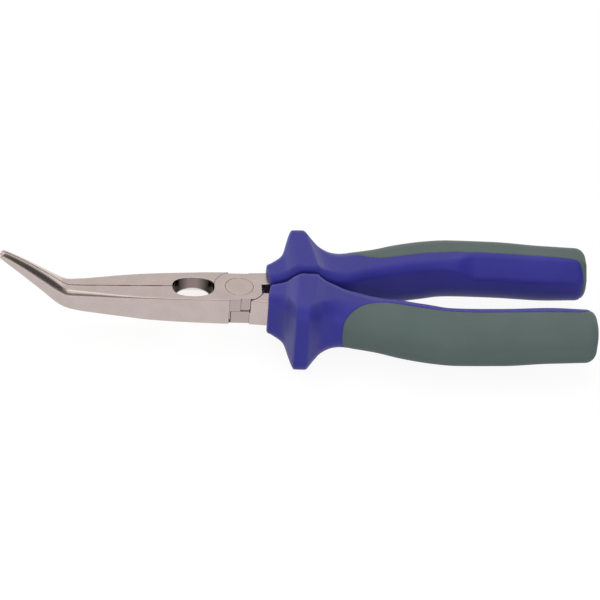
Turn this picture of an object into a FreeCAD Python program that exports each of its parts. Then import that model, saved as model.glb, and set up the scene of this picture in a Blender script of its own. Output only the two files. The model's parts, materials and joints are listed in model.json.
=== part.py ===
import FreeCAD, Part
import math
import os

# Bent-nose long-nose pliers with two-component grips.
#
# Every piece is drawn in pivot coordinates: the joint axis is Z, X = 0 and
# Y = 0 lie on it, Z = 0 is the parting plane of the lap joint, the jaws point
# to -X and bend up to +Z, the handles point to +X. The placement of each piece
# then moves the pivot to (pivot_x, 0, pivot_z), which puts the origin at the
# centre of the bottom of the whole tool's box: the two hand guards rest on
# Z = 0 and the tool is 200 mm long, from X = -100 to X = +100.

V = FreeCAD.Vector
doc = FreeCAD.newDocument("LongNosePliers")
sheet = doc.addObject("Spreadsheet::Sheet", "Dims")
sheet.Label = "Dims"

D = {}
LET = "abcdefghijklmnopqrstuvwxyz"

# ---------------------------------------------------------------- dimensions
D.update({
    "pivot_x": -19.7,        # where the joint axis stands in the tool's frame
    "pivot_z": 13.3,         # height of the lap plane over the resting plane
    "half_thick": 5.0,       # half the thickness of the joint
    "lap_gap": 0.05,         # half the play between the two lap faces
    "disc_rad": 8.5,         # lap disc
    "arc_rad": 8.65,         # concave shoulder that runs around the other disc
    "disc_flat": 7.5,        # flats on the disc's sides, inside the recess
    "disc_back": 7.7,        # flat on the disc's handle side
    "nick_y": 6.9,           # relief next to the shoulder
    "nick_x": 0.4,
    "far_out": 12.0,         # reach of cutting outlines past the joint
    "jaw_play": 0.08,        # half the gap between the closed jaws
    "rivet_rad": 3.6,
    "rivet_head": 4.75,
    "rivet_cone": 3.4,       # the countersink starts this far from mid plane
    "rivet_land": 4.6,       # and ends here, followed by a short land
    "rivet_play": 0.05,      # running clearance in the turning lever
    "hole_x": -15.65,        # oval pipe-grip hole, one arc in each jaw
    "hole_ra": 7.65,
    "hole_ca": 1.95,
    "hole_rb": 8.33,
    "hole_cb": 3.83,
    "inlay": 2.2,            # thickness of the soft overmould
    "guard_flat": 13.3,      # half height of the guards, flat above and below
    "guard_x0": 12.0,        # plan of the cut that makes those flats
    "guard_x1": 34.0,
    "guard_y1": 30.0,
})

# Jaw stations: x, half width of the closed pair, top, bottom, rounding of the
# outer top edge, of the outer bottom edge, and of the two inner edges.
JAW = [
    (-3.4, 7.95, 5.00, -5.00, 0.35, 0.35, 0.10),
    (-16.5, 7.62, 4.80, -4.95, 0.35, 0.35, 0.10),
    (-30.0, 7.05, 4.62, -4.60, 0.60, 0.55, 0.15),
    (-40.0, 6.30, 4.46, -4.05, 1.00, 0.95, 0.30),
    (-47.0, 5.50, 4.34, -3.80, 1.40, 1.25, 0.40),
    (-52.0, 5.00, 4.25, -3.50, 1.70, 1.45, 0.45),
    (-55.5, 4.68, 4.20, -2.95, 1.85, 1.55, 0.45),
    (-57.3, 4.50, 4.18, -2.42, 1.90, 1.60, 0.45),
    (-58.9, 4.35, 4.75, -1.75, 1.90, 1.60, 0.45),
    (-60.6, 4.15, 5.90, -0.80, 1.85, 1.60, 0.45),
    (-62.6, 3.90, 7.25, 0.70, 1.75, 1.50, 0.45),
    (-66.5, 3.40, 9.90, 4.05, 1.60, 1.40, 0.40),
    (-73.0, 2.55, 14.05, 9.55, 1.30, 1.10, 0.35),
    (-78.9, 1.80, 17.25, 14.55, 0.90, 0.80, 0.30),
    (-80.3, 1.30, 17.65, 15.95, 0.50, 0.50, 0.20),
]
for i, row in enumerate(JAW):
    for k, v in zip(("jx", "jy", "jt", "jb", "jro", "jrb", "jri"), row):
        D["%s_%s" % (k, LET[i])] = v

# Grip stations: x at the tool's centre plane, tilt of the section (degrees),
# inner side, outer side, half height, corner rounding.
GRIP = [
    (9.7, 0.0, 0.60, 10.9, 8.0, 3.6),
    (12.4, 1.2, 0.50, 12.3, 8.7, 4.0),
    (15.4, 2.9, 0.45, 14.6, 9.6, 4.3),
    (18.2, 5.1, 0.40, 19.2, 11.6, 4.5),
    (19.9, 6.0, 0.30, 22.8, 12.8, 4.6),
    (20.8, 6.3, 0.30, 24.3, 13.4, 4.7),
    (26.0, 9.6, 0.30, 24.4, 13.4, 4.7),
    (28.0, 8.8, 0.40, 22.0, 12.1, 5.0),
    (29.8, 6.8, 0.50, 19.4, 10.8, 5.5),
    (32.0, 4.0, 0.55, 18.2, 9.8, 6.5),
    (36.0, 0.0, 1.10, 19.6, 9.1, 8.0),
    (45.9, 0.0, 4.70, 22.2, 9.0, 7.9),
    (54.3, 0.0, 7.00, 25.1, 9.05, 7.8),
    (62.0, 0.0, 8.70, 27.0, 9.05, 7.8),
    (71.0, 0.0, 9.60, 27.9, 9.0, 7.8),
    (88.0, 0.0, 9.30, 27.5, 9.0, 7.8),
    (104.7, 0.0, 8.30, 25.8, 8.8, 7.5),
    (115.2, 0.0, 8.60, 25.4, 8.4, 7.2),
    (117.2, 0.0, 9.07, 24.93, 7.93, 6.8),
    (118.7, 0.0, 10.27, 23.73, 6.73, 5.6),
    (119.4, 0.0, 11.50, 22.5, 5.5, 4.5),
    (119.7, 0.0, 13.00, 21.0, 4.0, 3.2),
]
for i, row in enumerate(GRIP):
    for k, v in zip(("gx", "gtilt", "gin", "gout", "gz", "gr"), row):
        D["%s_%s" % (k, LET[i])] = v

# Outline of the tangs inside the grips, seen from above, for the +Y tang.
TANG = [
    (3.4, 7.7), (3.4, 2.5), (6.5, 1.1), (12.0, 1.9), (22.0, 4.8),
    (36.0, 7.8), (48.0, 10.9), (60.0, 14.8), (72.0, 16.0), (98.0, 15.4),
    (100.0, 16.6), (100.0, 19.2), (98.0, 20.4), (72.0, 21.6), (60.0, 20.6),
    (48.0, 17.0), (36.0, 13.4), (22.0, 10.2), (10.0, 8.0),
]
# The other tang differs only beside the joint.
TANGB = list(TANG)
TANGB[0] = (3.4, 7.95)
TANGB[1] = (3.4, 3.6)
TANGB[2] = (4.0, 3.2)
TANGB[3] = (12.0, 3.4)
TANGB[18] = (9.0, 8.45)
for i in range(len(TANG)):
    D["tax_%s" % LET[i]], D["tay_%s" % LET[i]] = TANG[i]
    D["tbx_%s" % LET[i]], D["tby_%s" % LET[i]] = TANGB[i]

# Edge of the soft overmould, seen from above: the region outside it is soft.
EDGE = [
    (34.8, 40.0), (34.8, 19.6), (35.2, 18.4), (36.2, 17.3), (37.8, 15.9),
    (40.0, 14.6), (43.0, 13.2), (46.5, 12.5), (50.0, 12.7), (56.0, 14.1),
    (63.0, 15.7), (71.0, 16.8), (79.0, 17.0), (88.0, 16.6), (97.0, 16.1),
    (106.0, 15.6), (113.0, 15.2), (115.4, 13.9), (116.7, 11.4), (117.2, -4.0),
    (130.0, -4.0), (130.0, 40.0),
]
for i in range(len(EDGE)):
    D["ex_%s" % LET[i]], D["ey_%s" % LET[i]] = EDGE[i]
# The same edge closed towards the jaws and the centre plane instead.
for k, v in (("back_x", 5.0), ("back_y", -4.0)):
    D[k] = v
D["zero"] = 0.0
D["past_lap"] = -1.0             # cutting outlines start past the lap plane

for n, (k, v) in enumerate(sorted(D.items())):
    sheet.set("A%d" % (n + 1), k)
    sheet.set("B%d" % (n + 1), repr(float(v)))
    sheet.setAlias("B%d" % (n + 1), k)
doc.recompute()


# ------------------------------------------------------------------- helpers
class Q:
    """A size: sign * cell + sign2 * cell2, as a number and as an expression."""

    def __init__(self, name, sign=1, name2=None, sign2=1):
        self.n, self.s, self.n2, self.s2 = name, sign, name2, sign2

    def value(self):
        v = self.s * D[self.n]
        if self.n2:
            v += self.s2 * D[self.n2]
        return v

    def expr(self):
        e = ("-" if self.s < 0 else "") + "Dims." + self.n
        if self.n2:
            e += (" - " if self.s2 < 0 else " + ") + "Dims." + self.n2
        return e


def origin_plane(body, role):
    for f in body.Origin.OriginFeatures:
        if f.Role == role:
            return f
    raise RuntimeError("no plane " + role)


def new_sketch(body, name, role, lift=None, tilt=None):
    sk = body.newObject("Sketcher::SketchObject", name)
    sk.AttachmentSupport = [(origin_plane(body, role), "")]
    sk.MapMode = "FlatFace"
    if lift is not None or tilt is not None:
        z = lift.value() if lift else 0.0
        a = tilt.value() if tilt else 0.0
        sk.AttachmentOffset = FreeCAD.Placement(
            V(0, 0, z), FreeCAD.Rotation(V(0, 1, 0), a))
        if lift:
            sk.setExpression("AttachmentOffset.Base.z", lift.expr())
    return sk


def drive(sk, kind, args, q):
    """A dimension of the sketch that follows the sheet."""
    i = sk.addConstraint(Sketcher.Constraint(kind, *(list(args) + [q.value()])))
    sk.setExpression("Constraints[%d]" % i, q.expr())


def round_rect(body, name, x, tilt, u0, u1, v0, v1, radii):
    """Rounded rectangle across the X axis. Corners: (u1,v0) (u1,v1) (u0,v1) (u0,v0)."""
    sk = new_sketch(body, name, "YZ_Plane", x, tilt)
    a, b, c, d = u0.value(), u1.value(), v0.value(), v1.value()
    r = [q.value() for q in radii]
    L, A = Part.LineSegment, Part.ArcOfCircle
    nz = V(0, 0, 1)

    def arc(cx, cy, rad, t0):
        return A(Part.Circle(V(cx, cy, 0), nz, rad), t0, t0 + math.pi / 2)

    g = [
        L(V(a + r[3], c, 0), V(b - r[0], c, 0)),
        arc(b - r[0], c + r[0], r[0], -math.pi / 2),
        L(V(b, c + r[0], 0), V(b, d - r[1], 0)),
        arc(b - r[1], d - r[1], r[1], 0.0),
        L(V(b - r[1], d, 0), V(a + r[2], d, 0)),
        arc(a + r[2], d - r[2], r[2], math.pi / 2),
        L(V(a, d - r[2], 0), V(a, c + r[3], 0)),
        arc(a + r[3], c + r[3], r[3], math.pi),
    ]
    sk.addGeometry(g, False)
    C = Sketcher.Constraint
    cons = []
    for i in range(8):
        cons.append(C("Tangent", i, 2, (i + 1) % 8, 1))
    cons += [C("Horizontal", 0), C("Horizontal", 4), C("Vertical", 2), C("Vertical", 6)]
    sk.addConstraint(cons)
    for k, q in zip((1, 3, 5, 7), radii):
        drive(sk, "Radius", (k,), q)
    drive(sk, "DistanceY", (-1, 1, 0, 1), v0)
    drive(sk, "DistanceY", (-1, 1, 4, 1), v1)
    drive(sk, "DistanceX", (-1, 1, 2, 1), u1)
    drive(sk, "DistanceX", (-1, 1, 6, 1), u0)
    return sk


def polygon(body, name, role, pts, lift=None):
    """Closed outline of straight lines; every corner follows the sheet."""
    sk = new_sketch(body, name, role, lift)
    P = [V(u.value(), v.value(), 0) for u, v in pts]
    n = len(P)
    sk.addGeometry([Part.LineSegment(P[i], P[(i + 1) % n]) for i in range(n)], False)
    sk.addConstraint([Sketcher.Constraint("Coincident", i, 2, (i + 1) % n, 1)
                      for i in range(n)])
    for i, (u, v) in enumerate(pts):
        drive(sk, "DistanceX", (-1, 1, i, 1), u)
        drive(sk, "DistanceY", (-1, 1, i, 1), v)
    return sk


def circle(body, name, cx, cy, rad, lift=None):
    sk = new_sketch(body, name, "XY_Plane", lift)
    x = cx.value() if cx else 0.0
    y = cy.value() if cy else 0.0
    sk.addGeometry(Part.Circle(V(x, y, 0), V(0, 0, 1), rad.value()), False)
    if cx:
        drive(sk, "DistanceX", (-1, 1, 0, 3), cx)
        drive(sk, "DistanceY", (-1, 1, 0, 3), cy)
    else:
        sk.addConstraint(Sketcher.Constraint("Coincident", 0, 3, -1, 1))
    drive(sk, "Radius", (0,), rad)
    return sk


def loft(body, kind, name, sketches):
    f = body.newObject("PartDesign::" + kind, name)
    f.Profile = sketches[0]
    f.Sections = sketches[1:]
    f.Ruled = True
    f.Closed = False
    return f


def pad(body, name, sk, q, both=False):
    f = body.newObject("PartDesign::Pad", name)
    f.Profile = sk
    f.Length = q.value() * (2 if both else 1)
    f.setExpression("Length", ("2 * " if both else "") + q.expr().lstrip("-"))
    if both:
        f.SideType = "Symmetric" if hasattr(f, "SideType") else f.SideType
    return f


def pocket_all(body, name, sk, reverse=False, both=False):
    before = body.Shape.Volume
    f = body.newObject("PartDesign::Pocket", name)
    f.Profile = sk
    f.Type = "ThroughAll"
    f.Reversed = reverse
    if both:
        f.SideType = "Symmetric"
    doc.recompute()
    if not (0 < f.Shape.Volume < before - 1e-4):
        raise RuntimeError("%s cut nothing: %.3f -> %.3f"
                           % (name, before, f.Shape.Volume))
    return f


def new_body(label):
    b = doc.addObject("PartDesign::Body", label)
    b.Label = label
    return b


import Sketcher  # noqa: E402  (the sketch module of the same application)


# -------------------------------------------------------------------- levers
def lever(label, side):
    """side -1: jaw on -Y, upper half of the lap, tang on +Y. side +1: the other."""
    b = new_body(label)
    up = side < 0                      # this lever has the upper half disc
    z = 1 if up else -1
    # half disc of the lap joint
    sk = circle(b, label + "_disc_sk", None, None, Q("disc_rad"), Q("lap_gap", z))
    f = b.newObject("PartDesign::Pad", label + "_disc")
    f.Profile = sk
    f.Length = D["half_thick"] - D["lap_gap"]
    f.setExpression("Length", "Dims.half_thick - Dims.lap_gap")
    f.Reversed = not up
    doc.recompute()
    # flats on its two sides
    for tag, s in (("n", -1), ("p", 1)):
        sk = polygon(b, label + "_flat_sk_" + tag, "XY_Plane", [
            (Q("far_out", -1), Q("disc_flat", s)), (Q("far_out"), Q("disc_flat", s)),
            (Q("far_out"), Q("far_out", s)), (Q("far_out", -1), Q("far_out", s))])
        pocket_all(b, label + "_flat_" + tag, sk, reverse=up)
    sk = polygon(b, label + "_back_sk", "XY_Plane", [
        (Q("disc_back"), Q("far_out", -1)), (Q("far_out"), Q("far_out", -1)),
        (Q("far_out"), Q("far_out")), (Q("disc_back"), Q("far_out"))])
    pocket_all(b, label + "_back", sk, reverse=up)
    sk = polygon(b, label + "_nick_sk", "XY_Plane", [
        (Q("nick_x"), Q("nick_y", side)), (Q("far_out"), Q("nick_y", side)),
        (Q("far_out"), Q("far_out", side)), (Q("nick_x"), Q("far_out", side))])
    pocket_all(b, label + "_nick", sk, reverse=up)
    # jaw, bent upwards near the tip
    sections = []
    for i in range(len(JAW)):
        c = LET[i]
        if side < 0:
            u0, u1 = Q("jy_" + c, -1), Q("jaw_play", -1)
            rad = [Q("jri_" + c), Q("jri_" + c), Q("jro_" + c), Q("jrb_" + c)]
        else:
            u0, u1 = Q("jaw_play"), Q("jy_" + c)
            rad = [Q("jrb_" + c), Q("jro_" + c), Q("jri_" + c), Q("jri_" + c)]
        sections.append(round_rect(b, "%s_jaw_%s" % (label, c), Q("jx_" + c), None,
                                   u0, u1, Q("jb_" + c), Q("jt_" + c), rad))
    loft(b, "AdditiveLoft", label + "_jaw", sections)
    doc.recompute()
    # tang
    t = "a" if up else "b"
    out = [(Q("t%sx_%s" % (t, LET[i])), Q("t%sy_%s" % (t, LET[i]), -side))
           for i in range(len(TANG))]
    sk = polygon(b, label + "_tang_sk", "XY_Plane", out)
    f = b.newObject("PartDesign::Pad", label + "_tang")
    f.Profile = sk
    f.Length = 2 * D["half_thick"]
    f.setExpression("Length", "2 * Dims.half_thick")
    f.SideType = "Symmetric"
    doc.recompute()
    # room for the other lever's half disc
    sk = circle(b, label + "_lap_sk", None, None, Q("arc_rad"), Q("lap_gap", z))
    pocket_all(b, label + "_lap", sk, reverse=not up)
    # pipe-grip arc
    if side < 0:
        sk = circle(b, label + "_hole_sk", Q("hole_x"), Q("hole_ca"), Q("hole_ra"))
    else:
        sk = circle(b, label + "_hole_sk", Q("hole_x"), Q("hole_cb", -1), Q("hole_rb"))
    pocket_all(b, label + "_hole", sk, both=True)
    # seat of the rivet
    play = None if up else "rivet_play"
    sk = polygon(b, label + "_bore_sk", "XZ_Plane", [
        (Q("zero"), Q("past_lap", z)),
        (Q("rivet_rad", 1, play), Q("past_lap", z)),
        (Q("rivet_rad", 1, play), Q("rivet_cone", z)),
        (Q("rivet_head", 1, play), Q("rivet_land", z)),
        (Q("rivet_head", 1, play), Q("far_out", z)),
        (Q("zero"), Q("far_out", z))])
    before = b.Shape.Volume
    g = b.newObject("PartDesign::Groove", label + "_bore")
    g.Profile = sk
    g.ReferenceAxis = (sk, ["V_Axis"])
    g.Angle = 360.0
    doc.recompute()
    if not (0 < g.Shape.Volume < before - 100):
        raise RuntimeError("bore cut nothing")
    b.Tip = g
    return b


def rivet(label):
    b = new_body(label)
    sk = polygon(b, label + "_sk", "XZ_Plane", [
        (Q("zero"), Q("half_thick", -1)), (Q("rivet_head"), Q("half_thick", -1)),
        (Q("rivet_head"), Q("rivet_land", -1)), (Q("rivet_rad"), Q("rivet_cone", -1)),
        (Q("rivet_rad"), Q("rivet_cone")), (Q("rivet_head"), Q("rivet_land")),
        (Q("rivet_head"), Q("half_thick")), (Q("zero"), Q("half_thick"))])
    g = b.newObject("PartDesign::Revolution", label + "_turned")
    g.Profile = sk
    g.ReferenceAxis = (sk, ["V_Axis"])
    g.Angle = 360.0
    doc.recompute()
    return b


# --------------------------------------------------------------------- grips
def grip_sections(b, tag, side, first, last, inset=None):
    out = []
    for i in range(first, last + 1):
        c = LET[i]
        inner = Q("gin_" + c, side, inset, side)
        outer = Q("gout_" + c, side, inset, -side)
        u0, u1 = (inner, outer) if side > 0 else (outer, inner)
        lo, hi = Q("gz_" + c, -1, inset, 1), Q("gz_" + c, 1, inset, -1)
        rad = [Q("gr_" + c, 1, inset, -1)] * 4
        x = Q("gx_" + c)
        sk = round_rect(b, "%s_%s" % (tag, c), x, Q("gtilt_" + c, side), u0, u1,
                        lo, hi, rad)
        out.append(sk)
    return out


def tang_outline(side):
    t = "a" if side > 0 else "b"
    return [(Q("t%sx_%s" % (t, LET[i])), Q("t%sy_%s" % (t, LET[i]), side))
            for i in range(len(TANG))]


def edge_outline(side, soft):
    pts = [(Q("ex_" + LET[i]), Q("ey_" + LET[i], side)) for i in range(len(EDGE))]
    if soft:
        return pts                     # the soft region itself
    # everything but the soft region
    return pts[:20] + [(Q("back_x"), Q("back_y", side)), (Q("back_x"), Q("ey_a", side))]


FIRST_CORE, LAST_CORE = 9, 16


def sleeve(label, side):
    b = new_body(label)
    loft(b, "AdditiveLoft", label + "_skin",
         grip_sections(b, label + "_s", side, 0, len(GRIP) - 1))
    doc.recompute()
    for tag, z in (("under", -1), ("top", 1)):
        sk = polygon(b, "%s_%s_sk" % (label, tag), "XY_Plane", [
            (Q("guard_x0"), Q("zero")), (Q("guard_x1"), Q("zero")),
            (Q("guard_x1"), Q("guard_y1", side)), (Q("guard_x0"), Q("guard_y1", side))],
            Q("guard_flat", z))
        pocket_all(b, label + "_" + tag, sk, reverse=z > 0)
    pocket_all(b, label + "_seat", polygon(b, label + "_seat_sk", "XY_Plane",
                                           edge_outline(side, True)), both=True)
    loft(b, "AdditiveLoft", label + "_core",
         grip_sections(b, label + "_c", side, FIRST_CORE, LAST_CORE, "inlay"))
    doc.recompute()
    sk = polygon(b, label + "_tang_sk", "XY_Plane", tang_outline(side))
    before = b.Shape.Volume
    f = b.newObject("PartDesign::Pocket", label + "_tang")
    f.Profile = sk
    f.Length = 2 * D["half_thick"]
    f.setExpression("Length", "2 * Dims.half_thick")
    f.SideType = "Symmetric"
    doc.recompute()
    if not (0 < f.Shape.Volume < before - 1000):
        raise RuntimeError("tang pocket cut nothing")
    return b


def overmould(label, side):
    b = new_body(label)
    loft(b, "AdditiveLoft", label + "_skin",
         grip_sections(b, label + "_s", side, 9, len(GRIP) - 1))
    doc.recompute()
    pocket_all(b, label + "_trim", polygon(b, label + "_trim_sk", "XY_Plane",
                                           edge_outline(side, False)), both=True)
    before = b.Shape.Volume
    f = loft(b, "SubtractiveLoft", label + "_core",
             grip_sections(b, label + "_c", side, FIRST_CORE, LAST_CORE, "inlay"))
    doc.recompute()
    if not (0 < f.Shape.Volume < before - 1000):
        raise RuntimeError("core cut nothing")
    return b


subparts = [
    lever("left_jaw_lever", -1),
    lever("right_jaw_lever", 1),
    rivet("pivot_rivet"),
    sleeve("right_grip_sleeve", 1),
    overmould("right_grip_overmould", 1),
    sleeve("left_grip_sleeve", -1),
    overmould("left_grip_overmould", -1),
]

for b in subparts:
    b.Placement = FreeCAD.Placement(V(D["pivot_x"], 0, D["pivot_z"]), FreeCAD.Rotation())
    b.setExpression("Placement.Base.x", "Dims.pivot_x")
    b.setExpression("Placement.Base.z", "Dims.pivot_z")
doc.recompute()

# -------------------------------------------------------------------- checks
for o in doc.Objects:
    if "Invalid" in o.State or "Error" in o.State:
        raise RuntimeError("%s is %s" % (o.Name, o.State))
for b in subparts:
    sh = b.Shape
    if sh.isNull() or not sh.isValid():
        raise RuntimeError(b.Label + " is not a valid shape")
    bb = sh.BoundBox
    print("%-22s solids %d faces %3d volume %9.1f  x %.2f..%.2f y %.2f..%.2f z %.2f..%.2f"
          % (b.Label, len(sh.Solids), len(sh.Faces), sh.Volume,
             bb.XMin, bb.XMax, bb.YMin, bb.YMax, bb.ZMin, bb.ZMax))

os.makedirs("parts", exist_ok=True)
for b in subparts:
    b.Shape.exportStep("parts/%s.step" % b.Label)
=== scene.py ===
import bpy
import json
import math
import numpy as np
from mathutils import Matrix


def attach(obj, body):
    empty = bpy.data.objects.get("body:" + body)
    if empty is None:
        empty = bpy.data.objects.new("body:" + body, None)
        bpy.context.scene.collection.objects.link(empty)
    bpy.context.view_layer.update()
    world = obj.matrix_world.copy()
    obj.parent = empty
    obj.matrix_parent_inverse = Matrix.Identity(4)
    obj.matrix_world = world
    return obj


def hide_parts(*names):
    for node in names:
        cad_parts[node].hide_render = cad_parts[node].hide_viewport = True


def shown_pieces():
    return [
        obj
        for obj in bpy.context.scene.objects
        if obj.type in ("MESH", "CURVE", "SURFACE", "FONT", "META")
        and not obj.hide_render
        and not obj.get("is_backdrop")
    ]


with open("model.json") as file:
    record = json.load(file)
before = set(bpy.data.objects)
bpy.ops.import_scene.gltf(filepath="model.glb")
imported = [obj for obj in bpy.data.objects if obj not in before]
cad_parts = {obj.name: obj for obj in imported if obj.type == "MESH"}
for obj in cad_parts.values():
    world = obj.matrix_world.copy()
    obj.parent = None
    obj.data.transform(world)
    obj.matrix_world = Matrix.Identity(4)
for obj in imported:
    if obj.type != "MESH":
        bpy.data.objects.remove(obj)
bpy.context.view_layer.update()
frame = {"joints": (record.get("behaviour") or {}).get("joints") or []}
PIVOT = np.array(frame["joints"][0]["pos_m"], float)

# Everything is shaped in pivot coordinates, in millimetres: the joint axis is
# Z, the jaws point to -X and bend up, the handles point to +X. Each surface is
# the zero level of a distance-like function; it is meshed once, its points are
# moved onto the exact surface, and its normals come from the same function.

F32 = np.float32


# ------------------------------------------------------------------ 1-D tables
def pchip(x, y, q):
    x, y = np.array(x, float), np.array(y, float)
    h, d = np.diff(x), np.diff(y) / np.diff(x)
    m = np.zeros_like(y)
    for i in range(1, len(x) - 1):
        if d[i - 1] * d[i] > 0:
            w1, w2 = 2 * h[i] + h[i - 1], h[i] + 2 * h[i - 1]
            m[i] = (w1 + w2) / (w1 / d[i - 1] + w2 / d[i])
    m[0], m[-1] = d[0], d[-1]
    i = np.clip(np.searchsorted(x, q) - 1, 0, len(x) - 2)
    t = (q - x[i]) / h[i]
    return ((1 + 2 * t) * (1 - t) ** 2 * y[i] + t * (1 - t) ** 2 * h[i] * m[i]
            + t * t * (3 - 2 * t) * y[i + 1] + t * t * (t - 1) * h[i] * m[i + 1])


class Curve:
    """A smooth function of x through stations, softened by sigma mm."""

    def __init__(self, x, y, sigma, step=0.05):
        o = np.argsort(x)
        x, y = np.array(x, float)[o], np.array(y, float)[o]
        self.x = np.arange(x[0], x[-1] + step / 2, step)
        v = pchip(x, y, self.x)
        if sigma:
            n = int(4 * sigma / step)
            k = np.exp(-0.5 * (np.arange(-n, n + 1) * step / sigma) ** 2)
            lo = v[0] + (v[1] - v[0]) * np.arange(-n, 0)
            hi = v[-1] + (v[-1] - v[-2]) * np.arange(1, n + 1)
            v = np.convolve(np.concatenate([lo, v, hi]), k / k.sum(), "valid")
        self.v = v
        self.d = np.gradient(v, self.x)

    def __call__(self, q):
        return np.interp(q, self.x, self.v)

    def slope(self, q):
        return np.interp(q, self.x, self.d)


# -------------------------------------------------------------- 3-D operations
def smax(a, b, r):
    """Intersection with a rounded edge of radius r."""
    return (np.minimum(-r, np.maximum(a, b))
            + np.hypot(np.maximum(a + r, 0), np.maximum(b + r, 0)))


def poly_sdf(px, py, pts):
    """Distance to a closed outline in the XY plane, negative inside."""
    px, py = np.broadcast_arrays(px, py)
    best = np.full(px.shape, 1e9)
    inside = np.zeros(px.shape, bool)
    n = len(pts)
    for i in range(n):
        ax, ay = pts[i]
        bx, by = pts[(i + 1) % n]
        ex, ey = bx - ax, by - ay
        wx, wy = px - ax, py - ay
        t = np.clip((wx * ex + wy * ey) / (ex * ex + ey * ey), 0, 1)
        best = np.minimum(best, (wx - t * ex) ** 2 + (wy - t * ey) ** 2)
        if ay != by:
            cross = (py >= min(ay, by)) & (py < max(ay, by))
            inside ^= cross & (px < ax + (py - ay) / (by - ay) * ex)
    return np.where(inside, -1.0, 1.0) * np.sqrt(best)


def chaikin(pts, rounds, keep=()):
    """Softens the corners of an open line; its two ends stay."""
    p = [np.array(q, float) for q in pts]
    for _ in range(rounds):
        q = [p[0]]
        for a, b in zip(p[:-1], p[1:]):
            q += [0.75 * a + 0.25 * b, 0.25 * a + 0.75 * b]
        p = q + [p[-1]]
    return p


def gradient(f, p, e=0.015):
    g = np.empty_like(p)
    for k in range(3):
        a, b = p.copy(), p.copy()
        a[:, k] += e
        b[:, k] -= e
        g[:, k] = (f(*a.T) - f(*b.T)) / (2 * e)
    return g


def onto(f, p, lim, rounds=3):
    for _ in range(rounds):
        v, g = f(*p.T), gradient(f, p)
        s = (v / np.maximum((g * g).sum(1), 0.15))[:, None] * g
        n = np.linalg.norm(s, axis=1, keepdims=True)
        p = p - s * np.minimum(1, lim / np.maximum(n, 1e-9))
    return p


def net(f, xs, ys, zs):
    """Quad mesh of the zero level of f over a grid: one point for each cell."""
    shape = (len(xs), len(ys), len(zs))
    val = np.empty(shape, F32)
    for i in range(0, shape[0], 40):
        val[i:i + 40] = f(xs[i:i + 40, None, None], ys[None, :, None], zs[None, None, :])
    s = val < 0
    cnt = np.zeros(tuple(n - 1 for n in shape), np.uint8)
    offs = [(a, b, c) for a in (0, 1) for b in (0, 1) for c in (0, 1)]
    for a, b, c in offs:
        cnt += s[a:shape[0] - 1 + a, b:shape[1] - 1 + b, c:shape[2] - 1 + c]
    mixed = (cnt > 0) & (cnt < 8)
    cells = np.argwhere(mixed)
    idx = np.full(mixed.shape, -1, np.int64)
    idx[mixed] = np.arange(len(cells))
    ax = (xs, ys, zs)
    corner = {o: val[cells[:, 0] + o[0], cells[:, 1] + o[1], cells[:, 2] + o[2]]
              for o in offs}
    acc, num = np.zeros((len(cells), 3)), np.zeros(len(cells))
    for o in offs:
        for k in range(3):
            if o[k]:
                continue
            q = tuple(1 if j == k else o[j] for j in range(3))
            va, vb = corner[o].astype(float), corner[q].astype(float)
            hit = (va < 0) != (vb < 0)
            t = np.where(hit, va / np.where(hit, va - vb, 1), 0)
            for j in range(3):
                base = ax[j][cells[:, j] + o[j]]
                if j == k:
                    base = base + t * (ax[j][cells[:, j] + 1] - base)
                acc[:, j] += np.where(hit, base, 0)
            num += hit
    pts = acc / num[:, None]
    quads = []
    for k in range(3):
        u, w = (k + 1) % 3, (k + 2) % 3
        lo = [slice(None)] * 3
        hi = [slice(None)] * 3
        lo[k], hi[k] = slice(0, -1), slice(1, None)
        change = s[tuple(lo)] != s[tuple(hi)]
        e = np.argwhere(change)
        e = e[(e[:, u] > 0) & (e[:, w] > 0)
              & (e[:, u] < shape[u] - 1) & (e[:, w] < shape[w] - 1)]
        ring = []
        for du, dw in ((-1, -1), (0, -1), (0, 0), (-1, 0)):
            c = e.copy()
            c[:, u] += du
            c[:, w] += dw
            ring.append(idx[c[:, 0], c[:, 1], c[:, 2]])
        q = np.stack(ring, 1)
        out = s[e[:, 0], e[:, 1], e[:, 2]]
        q[~out] = q[~out][:, ::-1]
        quads.append(q)
    return pts, np.concatenate(quads)


def make(name, pts, faces, normals=None, mirror=1, attrs=(), turn=False):
    """A mesh object in the frame, from pivot coordinates in mm."""
    p = np.array(pts, float)
    faces = np.array(faces)
    if turn:
        p, normals = p * (1, -1, -1), normals * (1, -1, -1)
    if mirror < 0:
        p = p * (1, -1, 1)
        faces = faces[:, ::-1]
        if normals is not None:
            normals = normals * (1, -1, 1)
    me = bpy.data.meshes.new(name)
    me.from_pydata((p / 1000 + PIVOT).tolist(), [], faces.tolist())
    me.update()
    me.polygons.foreach_set("use_smooth", np.ones(len(me.polygons), bool))
    for key, values in attrs:
        at = me.attributes.new(key, "FLOAT", "POINT")
        at.data.foreach_set("value", np.ascontiguousarray(values, F32))
    if normals is not None:
        me.normals_split_custom_set_from_vertices(normals.tolist())
    ob = bpy.data.objects.new(name, me)
    bpy.context.scene.collection.objects.link(ob)
    return ob


def unit(g):
    return g / np.maximum(np.linalg.norm(g, axis=1, keepdims=True), 1e-9)


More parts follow.
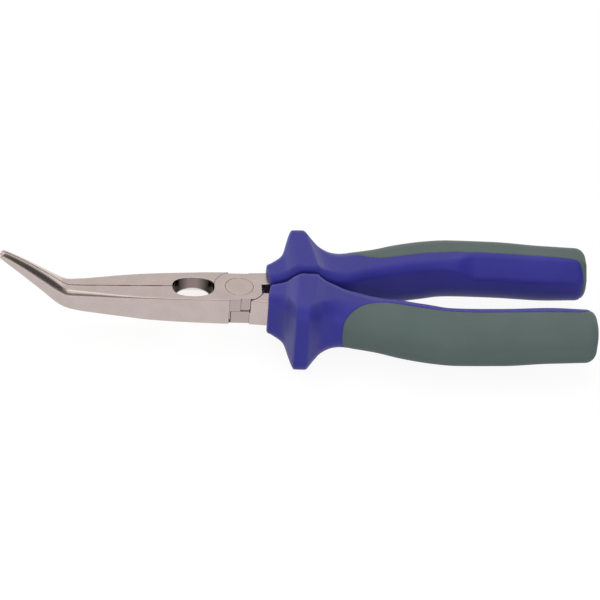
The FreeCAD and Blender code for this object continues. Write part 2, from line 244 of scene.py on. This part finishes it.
# ------------------------------------------------------------------- the levers
JAW = [
    (-3.4, 7.95, 5.00, -5.00, 0.30, 0.30, 0.06),
    (-9.2, 7.83, 5.00, -5.00, 0.30, 0.30, 0.06),
    (-16.5, 7.62, 4.86, -4.95, 0.32, 0.32, 0.06),
    (-30.0, 7.05, 4.64, -4.68, 0.50, 0.50, 0.06),
    (-40.0, 6.30, 4.48, -4.18, 0.95, 0.90, 0.08),
    (-47.0, 5.52, 4.38, -3.92, 1.40, 1.20, 0.10),
    (-52.0, 5.04, 4.32, -3.66, 1.75, 1.40, 0.12),
    (-55.5, 4.78, 4.34, -3.15, 1.95, 1.45, 0.14),
    (-57.3, 4.68, 4.44, -2.74, 2.10, 1.50, 0.08),
    (-58.9, 4.56, 5.10, -2.15, 2.30, 1.50, 0.08),
    (-60.6, 4.36, 6.25, -1.20, 2.60, 1.50, 0.08),
    (-62.6, 4.08, 7.68, 0.35, 2.90, 1.45, 0.08),
    (-66.5, 3.54, 10.38, 3.85, 2.85, 1.35, 0.08),
    (-73.0, 2.65, 14.45, 9.45, 2.20, 1.10, 0.10),
    (-78.9, 1.90, 17.55, 14.45, 1.50, 0.80, 0.18),
    (-80.6, 1.65, 18.20, 15.95, 1.20, 0.60, 0.18),
    (-84.0, 1.10, 19.60, 18.70, 0.80, 0.30, 0.12),
]
jx = [r[0] for r in JAW]
J_W, J_T, J_B = (Curve(jx, [r[k] for r in JAW], s) for k, s in ((1, 1.0), (2, 0.35), (3, 0.45)))
J_RO, J_RB, J_RI = (Curve(jx, [r[k] for r in JAW], 1.0) for k in (4, 5, 6))
BEND = np.array((-0.822, 0.569))        # direction of the bent part in XZ

TANG = [(3.4, 7.7), (3.4, 2.5), (6.5, 1.1), (12.0, 1.9), (22.0, 4.8),
        (36.0, 7.8), (48.0, 10.9), (60.0, 14.8), (72.0, 16.0), (98.0, 15.4),
        (100.0, 16.6), (100.0, 19.2), (98.0, 20.4), (72.0, 21.6), (60.0, 20.6),
        (48.0, 17.0), (36.0, 13.4), (22.0, 10.2), (10.0, 8.0)]
TANGB = list(TANG)
TANGB[0], TANGB[1], TANGB[2], TANGB[3], TANGB[18] = (
    (3.4, 7.95), (3.4, 3.6), (4.0, 3.2), (12.0, 3.4), (9.0, 8.45))


def lever(side):
    """side -1 has the jaw on -Y and the upper half of the lap; +1 the other.
    y counts towards the jaw's own side."""
    up = -side
    tang = TANG if side < 0 else TANGB
    deep = 5.70 if side < 0 else 4.50      # each jaw's half of the oval hole
    play = 0.0 if side < 0 else 0.03

    def oval(x, y, draft=0.0):
        a, b = 7.05 - draft, deep - draft
        u, v = np.abs(x + 15.4) / a, np.maximum(y, 0) / b
        q = np.maximum((u ** 2.5 + v ** 2.5) ** 0.4, 1e-6)
        return (q - 1) / np.maximum(np.hypot((u / q) ** 1.5 / a, (v / q) ** 1.5 / b), 1e-6)

    def f(x, y, z):
        zl = up * z
        r = np.hypot(x, y)
        # jaw
        kt = 1 / np.sqrt(1 + J_T.slope(x) ** 2)
        kb = 1 / np.sqrt(1 + J_B.slope(x) ** 2)
        top, bot = (z - J_T(x)) * kt, (J_B(x) - z) * kb
        outer = y - J_W(x)
        bent = np.clip((-x - 55.5) / 4.0, 0, 1)
        s = (1 - bent) * (-x) + bent * (57.0 + (x + 57.0) * BEND[0] + (z - 1.0) * BEND[1])
        tooth = np.abs(((s / 0.92 - 0.135) % 1.0) - 0.5) * 2
        edge = np.clip((-top - 0.5) / 0.4, 0, 1) * np.clip((-bot - 0.5) / 0.4, 0, 1)
        run = np.clip((-x - 26.5) / 0.8, 0, 1)
        inner = 0.05 + 0.11 * (1 - bent) + 0.22 * tooth * edge * run - y
        ro, rb, ri = J_RO(x), J_RB(x), J_RI(x)
        jaw = np.maximum(np.maximum(smax(top, outer, ro), smax(bot, outer, rb)),
                         np.maximum(smax(top, inner, ri), smax(bot, inner, ri)))
        tip = (x + 80.45) * BEND[0] + (z - 15.9) * BEND[1]
        jaw = smax(smax(tip, jaw, 0.5), x + 3.4, 0.14)
        # tang
        root = smax(poly_sdf(x, -y, tang), np.abs(z) - 5.0, 0.3)
        # room for the other lever's half disc
        room = np.where(x < 0, 8.585, 8.74) - r
        body = smax(np.minimum(jaw, root), np.minimum(room, 0.06 - zl), 0.04)
        # own half disc
        disc = smax(smax(np.maximum(y - 7.5, -7.25 - y), r - 8.56, 0.04), x - 7.7, 0.1)
        disc = smax(disc, -np.maximum(0.4 - x, 6.9 - y), 0.12)
        disc = smax(smax(disc, zl - 5.0, 0.04), 0.06 - zl, 0.12)
        if side > 0:
            slot = np.maximum(np.maximum(np.abs(x + 3.12) - 0.25, 6.5 + y), -4.6 - z)
            disc = smax(disc, -slot, 0.04)
        solid = np.minimum(body, disc)
        # pipe-grip arc and rivet seat
        draft = 0.42 * np.clip(1 - np.abs(z) / 4.6, 0, 1)
        solid = smax(solid, -oval(x, y, draft), 0.16)
        bore = np.interp(np.abs(z), (0, 3.4, 4.6, 9), (3.6, 3.6, 4.75, 4.75)) + play
        return smax(solid, bore - r, 0.05)

    xs = np.concatenate([np.arange(-81.2, 12.0, 0.23), np.arange(12.0, 102.0, 1.0)])
    ys = np.concatenate([np.arange(-22.6, -9.3, 0.8), np.arange(-9.3, 9.3, 0.17)])
    zs = np.arange(-5.5, 18.3, 0.17)
    p, q = net(f, xs, ys, zs)
    near = p[:, 0] < 12.5
    p[near] = onto(f, p[near], 0.10)
    wall = np.clip((0.62 - np.abs(oval(p[:, 0], p[:, 1]) + 0.2)) / 0.15, 0, 1)
    wall = wall * (np.abs(p[:, 2]) < 4.66)
    # painted reflection and painted shade on the hole wall: bright in the lower middle, standing
    # in for the white floor seen in the wall, and dark towards the two ends
    dx = np.abs(p[:, 0] + 15.4)
    # painted shade: the wall colour darkens towards both ends of the hole
    painted_end_shade = np.clip((dx - 1.4) / 3.4, 0, 1)
    # painted reflection: a near-white crescent below the mid plane
    low = np.clip((1.05 - 0.043 * dx ** 2 - p[:, 2]) / 0.5, 0, 1) * np.clip((5.7 - dx) / 0.6, 0, 1)
    level = (1 - low) * (0.25 - 0.215 * painted_end_shade) + low * 0.93
    # the flat sides of the half discs get a darker colour and a lower roughness through the wall
    # and level attributes
    rough = ((np.abs(p[:, 1]) > 6.4) & (np.abs(p[:, 1]) < 7.6) & (p[:, 0] > -3.42)
             & (p[:, 0] < 7.75) & (np.hypot(p[:, 0], p[:, 1]) < 8.60) & (np.abs(p[:, 2]) < 4.97))
    wall[rough], level[rough] = 0.6, 0.36
    return p, q, unit(gradient(f, p)), wall, level


def add_lever(name, side, body, node):
    p, q, n, wall, level = lever(side)
    ob = make(name, p, q, n, side, [("wall", wall), ("level", level)])
    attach(ob, body)
    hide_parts(node)
    return ob


# -------------------------------------------------------------------- the grips
GRIP = [
    (9.7, 0.0, 0.60, 10.9, 8.0, 3.6),
    (12.4, 1.2, 0.50, 12.3, 8.7, 4.0),
    (15.4, 2.9, 0.45, 14.6, 9.6, 4.3),
    (18.2, 5.1, 0.40, 19.9, 11.9, 4.5),
    (19.9, 6.0, 0.30, 23.2, 13.0, 4.6),
    (20.8, 6.3, 0.30, 24.3, 13.4, 4.7),
    (26.0, 9.6, 0.30, 24.4, 13.4, 4.7),
    (27.6, 8.8, 0.40, 22.0, 12.1, 5.0),
    (29.4, 6.8, 0.50, 19.3, 10.7, 5.5),
    (32.0, 4.0, 0.55, 18.2, 9.8, 6.5),
    (36.0, 0.0, 1.10, 19.6, 9.1, 8.0),
    (45.9, 0.0, 4.70, 22.2, 9.0, 7.9),
    (54.3, 0.0, 7.00, 25.1, 9.05, 7.8),
    (62.0, 0.0, 8.70, 27.0, 9.05, 7.8),
    (71.0, 0.0, 9.60, 27.9, 9.0, 7.8),
    (88.0, 0.0, 9.30, 27.5, 9.0, 7.8),
    (104.7, 0.0, 8.30, 25.8, 8.8, 7.5),
    (115.2, 0.0, 8.60, 25.4, 8.4, 7.2),
    (122.0, 0.0, 8.80, 25.2, 8.2, 7.0),
]
FIRST = (4.0, 0.0, 0.60, 9.9, 7.7, 3.4)
gx = [FIRST[0]] + [r[0] for r in GRIP]
G_TAN = Curve(gx, [math.tan(math.radians(r[1])) for r in [FIRST] + GRIP], 0.8)
G_IN = Curve(gx, [r[2] for r in [FIRST] + GRIP], 1.0)
G_OUT = Curve(gx, [r[3] for r in [FIRST] + GRIP], 0.32)
G_Z = Curve(gx, [r[4] for r in [FIRST] + GRIP], 0.32)
G_RO = Curve(gx, [r[5] for r in [FIRST] + GRIP], 0.8)
# inner corners: tight along the waist, wide where the palm side is scooped
G_RI = Curve((4.0, 26.0, 30.0, 36.0, 66.0, 76.0, 90.0, 112.0, 122.0),
             (3.0, 2.4, 2.8, 3.2, 3.4, 3.4, 3.4, 3.4, 3.4), 1.2)
# the inner corner away from the facet is almost a half round
G_RL = Curve((4.0, 26.0, 30.0, 33.0, 38.0, 45.0, 54.0, 62.0, 69.0, 78.0, 95.0, 112.0, 122.0),
             (3.4, 4.7, 4.8, 6.4, 8.2, 8.0, 6.7, 6.9, 8.2, 8.6, 8.4, 7.6, 7.0), 1.2)
G_CH = Curve((4.0, 62.0, 73.0, 81.0, 112.0, 122.0), (0.0, 0.8, 1.9, 5.9, 5.8, 5.5), 0.9)

SEAM = [(33.6, 23.0), (33.7, 19.6), (34.3, 18.4), (35.7, 17.3), (37.8, 15.9),
        (40.0, 14.6), (43.0, 13.2), (46.5, 12.5), (50.0, 12.7), (56.0, 14.1),
        (63.0, 15.7), (71.0, 16.8), (79.0, 17.0), (88.0, 16.6), (97.0, 16.1),
        (106.0, 15.6), (113.6, 15.2), (116.8, 14.2), (118.1, 11.6), (118.5, 7.0)]
SOFT = ([(33.6, 40.0)] + [tuple(q) for q in chaikin(SEAM, 2)]
        + [(118.5, -4.0), (130.0, -4.0), (130.0, 40.0)])
INLAY = 2.2


def skin0(x, y, z):
    """Outside of a grip, y counting away from the centre plane."""
    x, y = np.broadcast_arrays(x, y)
    s = np.array(x, float)
    for _ in range(7):
        s = x + np.maximum(y, 0) * G_TAN(s)
    top = np.abs(z) - G_Z(s)
    outer = y - G_OUT(s)
    inner = G_IN(s) - y
    ri = np.where(z > 0, G_RI(s), G_RL(s))
    ro = G_RO(s) - 0.9 * np.clip((s - 60.0) / 12.0, 0, 1) * (z > 0)
    f = np.maximum(smax(top, outer, ro), smax(top, inner, ri))
    f = smax(f, (z - G_Z(s) + inner + G_CH(s)) * 0.7071, 0.9)      # palm-side facet
    f = smax(f, np.abs(z) - 13.3, 0.5)
    f = smax(f, 9.45 + 1.35 * np.clip(1 - y / 7.5, 0, 1) - x, 0.7)
    return smax(f, x - 119.7, 3.8)


def seam(x, y):
    return poly_sdf(x, y, SOFT)


def skin(x, y, z):
    """The outside with the fine valley along the seam."""
    g = seam(x, y)
    return skin0(x, y, z) + 0.16 * np.exp(-(g / 0.26) ** 2)


def grip(soft, tang):
    def f(x, y, z):
        g = seam(x, y)
        k = skin0(x, y, z)
        s = k + 0.16 * np.exp(-(g / 0.26) ** 2)
        inlay = np.maximum(g, -(k + INLAY))
        if soft:
            return np.maximum(s, inlay)
        room = smax(poly_sdf(x, y, tang), np.abs(z) - 5.0, 0.3) + 0.25
        return np.maximum(np.maximum(s, -inlay), -room)

    xs = np.arange(9.0 if not soft else 32.5, 120.5, 0.42)
    ys = np.arange(-0.2, 28.6, 0.32)
    zs = np.arange(-13.6, 13.8, 0.32)
    p, q = net(f, xs, ys, zs)
    p = onto(f, p, 0.12, 2)
    # points next to the seam go exactly onto it
    k, g = skin(*p.T), seam(p[:, 0], p[:, 1])
    near = np.where((np.abs(g) < 0.30) & (np.abs(k) < 0.40))[0]
    c = p[near].copy()
    for _ in range(4):
        v1, v2 = skin(*c.T), seam(c[:, 0], c[:, 1])
        a = gradient(skin, c)
        b = gradient(lambda x, y, z: seam(x, y), c)
        aa, bb, ab = (a * a).sum(1), (b * b).sum(1), (a * b).sum(1)
        det = np.maximum(aa * bb - ab * ab, 1e-3)
        l1, l2 = (bb * v1 - ab * v2) / det, (aa * v2 - ab * v1) / det
        c = c - l1[:, None] * a - l2[:, None] * b
    ok = np.linalg.norm(c - p[near], axis=1) < 0.34
    p[near[ok]] = c[ok]
    g, k = seam(p[:, 0], p[:, 1]), np.abs(skin(*p.T))
    n = unit(gradient(f, p))
    out = k < 0.03
    n[out] = unit(gradient(skin, p[out]))
    return p, q, n, np.abs(g)


# -------------------------------------------------------------------- the rivet
def add_rivet():
    """Turned rivet: flush ends with a chamfer and a shallow dished centre."""
    half = [(0.0, 4.90), (1.2, 4.905), (2.2, 4.93), (2.9, 4.965), (3.2, 4.975),
            (4.50, 4.985), (4.62, 4.975), (4.68, 4.93), (4.70, 4.85), (4.70, 4.60),
            (3.58, 3.40)]
    prof = half + [(r, -z) for r, z in reversed(half)]
    n = 96
    pts, faces, rows = [], [], []
    for r, z in prof:
        if r == 0:
            rows.append([len(pts)] * n)
            pts.append((0, 0, z))
        else:
            rows.append(list(range(len(pts), len(pts) + n)))
            pts += [(r * math.cos(2 * math.pi * i / n), r * math.sin(2 * math.pi * i / n), z)
                    for i in range(n)]
    for a, b in zip(rows[:-1], rows[1:]):
        for i in range(n):
            j = (i + 1) % n
            face = [a[i], b[i], b[j], a[j]]
            faces.append([v for k, v in enumerate(face) if v not in face[:k]])
    me = bpy.data.meshes.new("joint_rivet")
    me.from_pydata((np.array(pts) / 1000 + PIVOT).tolist(), [], faces)
    me.update()
    me.polygons.foreach_set("use_smooth", np.ones(len(me.polygons), bool))
    ob = bpy.data.objects.new("joint_rivet", me)
    bpy.context.scene.collection.objects.link(ob)
    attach(ob, "fixed_lever")
    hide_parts("pivot_rivet")
    return ob


# -------------------------------------------------------------------- materials
def nodes_of(name):
    m = bpy.data.materials.new(name)
    m.use_nodes = True
    t = m.node_tree
    bsdf = next(n for n in t.nodes if n.type == "BSDF_PRINCIPLED")
    return m, t, bsdf


def noise(t, coord, scale, detail=3.0, stretch=None):
    n = t.nodes.new("ShaderNodeTexNoise")
    n.inputs["Scale"].default_value = scale
    n.inputs["Detail"].default_value = detail
    if stretch:
        mp = t.nodes.new("ShaderNodeMapping")
        mp.inputs["Scale"].default_value = stretch
        t.links.new(coord, mp.inputs["Vector"])
        coord = mp.outputs["Vector"]
    t.links.new(coord, n.inputs["Vector"])
    return n.outputs["Fac"]


def ramp(t, fac, lo, hi, a, b):
    m = t.nodes.new("ShaderNodeMapRange")
    for k, v in (("From Min", lo), ("From Max", hi), ("To Min", a), ("To Max", b)):
        m.inputs[k].default_value = v
    t.links.new(fac, m.inputs["Value"])
    return m.outputs["Result"]


def colour(t, fac, a, b):
    m = t.nodes.new("ShaderNodeMix")
    m.data_type = "RGBA"
    m.inputs["A"].default_value = (*a, 1)
    m.inputs["B"].default_value = (*b, 1)
    t.links.new(fac, m.inputs["Factor"])
    return m.outputs["Result"]


def bump(t, height, strength, distance, under=None):
    b = t.nodes.new("ShaderNodeBump")
    b.inputs["Strength"].default_value = strength
    b.inputs["Distance"].default_value = distance
    t.links.new(height, b.inputs["Height"])
    if under is not None:
        t.links.new(under, b.inputs["Normal"])
    return b.outputs["Normal"]


def steel(name, a, b, rough, wall=False):
    m, t, s = nodes_of(name)
    co = t.nodes.new("ShaderNodeTexCoord").outputs["Object"]
    blotch = noise(t, co, 180.0, 4.0)
    grain = noise(t, co, 5200.0, 2.0)
    ground = noise(t, co, 1500.0, 3.0, (0.25, 3.0, 1.6))   # fine marks along the jaws
    t.links.new(colour(t, ramp(t, blotch, 0.3, 0.7, 0.0, 1.0), a, b), s.inputs["Base Color"])
    s.inputs["Metallic"].default_value = 1.0
    dull = ramp(t, ground, 0.3, 0.7, rough[0], rough[1])
    if wall:
        # the pipe-grip hole wall is polished (low roughness); its colour holds a painted
        # reflection, bright below the mid plane, and painted shade, dark at the two ends
        base = s.inputs["Base Color"].links[0].from_socket
        at = [t.nodes.new("ShaderNodeAttribute") for _ in range(2)]
        at[0].attribute_name, at[1].attribute_name = "wall", "level"
        # colour ramp of the painted light: black for the painted shade at the ends, near white for
        # the painted floor reflection
        cr = t.nodes.new("ShaderNodeValToRGB")
        cr.color_ramp.elements[0].color = (0.0, 0.0, 0.0, 1)
        cr.color_ramp.elements[1].color = (1.0, 0.965, 0.955, 1)
        mid = cr.color_ramp.elements.new(0.4)
        mid.color = (0.42, 0.352, 0.325, 1)
        t.links.new(at[1].outputs["Fac"], cr.inputs["Fac"])
        inside = cr.outputs["Color"]
        mix = t.nodes.new("ShaderNodeMix")
        mix.data_type = "RGBA"
        t.links.new(at[0].outputs["Fac"], mix.inputs["Factor"])
        t.links.new(base, mix.inputs["A"])
        t.links.new(inside, mix.inputs["B"])
        t.links.new(mix.outputs["Result"], s.inputs["Base Color"])
        soft = t.nodes.new("ShaderNodeMix")
        t.links.new(at[0].outputs["Fac"], soft.inputs["Factor"])
        t.links.new(dull, soft.inputs["A"])
        soft.inputs["B"].default_value = 0.10
        dull = soft.outputs["Result"]
    t.links.new(dull, s.inputs["Roughness"])
    n = bump(t, ground, 0.10, 0.00002)
    t.links.new(bump(t, grain, 0.12, 0.00002, n), s.inputs["Normal"])
    return m


def moulded(name, a, b, rough, scale, strength, seam_shade, gloss):
    m, t, s = nodes_of(name)
    s.inputs["Specular IOR Level"].default_value = gloss
    co = t.nodes.new("ShaderNodeTexCoord").outputs["Object"]
    blotch = noise(t, co, 60.0, 3.0)
    fine = noise(t, co, scale, 3.0)
    col = colour(t, ramp(t, blotch, 0.3, 0.7, 0.0, 1.0), a, b)
    at = t.nodes.new("ShaderNodeAttribute")
    at.attribute_name = "seam"
    # painted shade: the base colour darkens within 0.3 mm of the seam, along its fine valley
    line = ramp(t, at.outputs["Fac"], 0.0, 0.3, seam_shade, 1.0)
    mul = t.nodes.new("ShaderNodeMix")
    mul.data_type = "RGBA"
    mul.blend_type = "MULTIPLY"
    mul.inputs["Factor"].default_value = 1.0
    t.links.new(col, mul.inputs["A"])
    t.links.new(line, mul.inputs["B"])
    t.links.new(mul.outputs["Result"], s.inputs["Base Color"])
    t.links.new(ramp(t, fine, 0.3, 0.7, rough[0], rough[1]), s.inputs["Roughness"])
    t.links.new(bump(t, fine, strength, 0.00003), s.inputs["Normal"])
    return m


STEEL = steel("satin_nickel_steel", (0.535, 0.458, 0.436), (0.490, 0.418, 0.397),
              (0.21, 0.28), True)
RIVET = steel("ground_rivet_steel", (0.525, 0.445, 0.420), (0.475, 0.40, 0.375), (0.26, 0.34))
BLUE = moulded("blue_moulded_plastic", (0.026, 0.026, 0.244), (0.032, 0.031, 0.276),
               (0.42, 0.52), 1800.0, 0.12, 0.72, 0.30)
GREY = moulded("grey_green_soft_overmould", (0.083, 0.119, 0.113), (0.095, 0.132, 0.126),
               (0.56, 0.68), 2600.0, 0.25, 0.72, 0.32)


def paint(ob, mat):
    ob.data.materials.clear()
    ob.data.materials.append(mat)


paint(add_lever("left_jaw_forging", -1, "fixed_lever", "left_jaw_lever"), STEEL)
paint(add_lever("right_jaw_forging", 1, "moving_lever", "right_jaw_lever"), STEEL)
paint(add_rivet(), RIVET)
for soft, key, slot, mat in ((False, "sleeve", "grip_blue", BLUE),
                             (True, "overmould", "grip_grey", GREY)):
    for word, side, body, tang in (("right", 1, "fixed_lever", TANG),
                                   ("left", -1, "moving_lever", TANGB)):
        if not soft or side > 0:
            got = grip(soft, tang)
        p, q, n, g = got
        ob = make("%s_moulded_%s" % (word, key), p, q, n, 1, [("seam", g)], side < 0)
        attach(ob, body)
        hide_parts("%s_grip_%s" % (word, key))
        paint(ob, mat)

# ------------------------------------------------------------------------ stage
bpy.ops.mesh.primitive_plane_add(size=6.0, location=(0, 0, 0))
floor = bpy.context.object
floor.name = "studio_floor"
fm, ft, fs = nodes_of("pale_floor")
fs.inputs["Base Color"].default_value = (0.11, 0.11, 0.11, 1)
fs.inputs["Roughness"].default_value = 0.9
fs.inputs["Specular IOR Level"].default_value = 0.0
fs.inputs["Emission Color"].default_value = (1, 1, 1, 1)
fs.inputs["Emission Strength"].default_value = 0.91
floor.data.materials.append(fm)
floor.visible_diffuse = False
floor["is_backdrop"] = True

# Camera
EL, AZ, ROLL = math.radians(37.0), math.radians(-5.6), math.radians(4.5)
back = np.array([math.sin(AZ) * math.cos(EL), -math.cos(AZ) * math.cos(EL), math.sin(EL)])
right = np.array([math.cos(AZ), math.sin(AZ), 0.0])
upv = np.cross(back, right)
rx = math.cos(ROLL) * right + math.sin(ROLL) * upv
uy = -math.sin(ROLL) * right + math.cos(ROLL) * upv
pos = PIVOT + (20.72 * rx - 0.606 * uy + 1200.0 * back) / 1000
cam = bpy.data.objects.new("camera", bpy.data.cameras.new("camera"))
bpy.context.scene.collection.objects.link(cam)
cam.data.sensor_width = 36.0
cam.data.lens = 36.0 * 2.968 * 1200.0 / 600.0
cam.data.clip_start, cam.data.clip_end = 0.05, 20.0
from mathutils import Matrix
M = Matrix.Identity(4)
for i in range(3):
    M[i][0], M[i][1], M[i][2], M[i][3] = rx[i], uy[i], back[i], pos[i]
cam.matrix_world = M
bpy.context.scene.camera = cam

# Light room: broad light overhead, pale wall behind, darker in front and beside
world = bpy.data.worlds.new("tent")
bpy.context.scene.world = world
world.use_nodes = True
wt = world.node_tree
bg = next(n for n in wt.nodes if n.type == "BACKGROUND")
bg.inputs["Color"].default_value = (1.0, 0.975, 0.955, 1)
wc = wt.nodes.new("ShaderNodeTexCoord").outputs["Generated"]


def sky(op, *args):
    n = wt.nodes.new("ShaderNodeMath")
    n.operation = op
    for i, v in enumerate(args):
        if isinstance(v, (int, float)):
            n.inputs[i].default_value = v
        else:
            wt.links.new(v, n.inputs[i])
    return n.outputs["Value"]


def band(value, lo, hi, a, b):
    n = wt.nodes.new("ShaderNodeMapRange")
    n.interpolation_type = "SMOOTHSTEP"
    for k, v in (("From Min", lo), ("From Max", hi), ("To Min", a), ("To Max", b)):
        n.inputs[k].default_value = v
    wt.links.new(value, n.inputs["Value"])
    return n.outputs["Result"]


def along(direction):
    n = wt.nodes.new("ShaderNodeVectorMath")
    n.operation = "DOT_PRODUCT"
    n.inputs[1].default_value = direction
    wt.links.new(wc, n.inputs[0])
    return n.outputs["Value"]


behind = band(along((-0.25, 0.94, 0.20)), 0.10, 0.60, 0.09, 0.94)   # pale wall behind
above = band(along((0.0, 0.05, 1.0)), 0.74, 0.92, 0.0, 0.95)        # broad overhead light
low = sky("MULTIPLY", band(along((0.0, 0.0, 1.0)), 0.04, 0.22, 1.30, 0.0),
          band(along((0.0, 0.0, 1.0)), -0.06, 0.0, 0.0, 1.0))       # pale strip at floor level
left = band(along((-0.451, -0.752, 0.481)), 0.45, 0.85, 0.0, 0.24)  # soft wall in front, left
wt.links.new(sky("ADD", sky("ADD", behind, above), sky("ADD", low, left)), bg.inputs["Strength"])


def area(name, loc, target, size, power):
    li = bpy.data.lights.new(name, "AREA")
    li.size = size
    li.energy = power
    ob = bpy.data.objects.new(name, li)
    bpy.context.scene.collection.objects.link(ob)
    ob.location = loc
    d = Matrix.Identity(3)
    from mathutils import Vector
    ob.rotation_mode = "QUATERNION"
    ob.rotation_quaternion = (Vector(target) - Vector(loc)).to_track_quat("-Z", "Y")
    return ob


top = area("softbox_top", (-0.15, 0.30, 0.9), (0.0, 0.0, 0.01), 0.6, 0.3)
fill = area("softbox_front", (0.05, -0.95, 0.44), (0.0, 0.0, 0.01), 1.0, 6.8)
top.visible_glossy = fill.visible_glossy = False

bpy.context.scene.view_settings.view_transform = "Standard"
bpy.context.scene.view_settings.look = "None"

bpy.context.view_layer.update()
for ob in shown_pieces():
    if ob.type == "MESH":
        print("piece", ob.name, len(ob.data.vertices), len(ob.data.polygons))
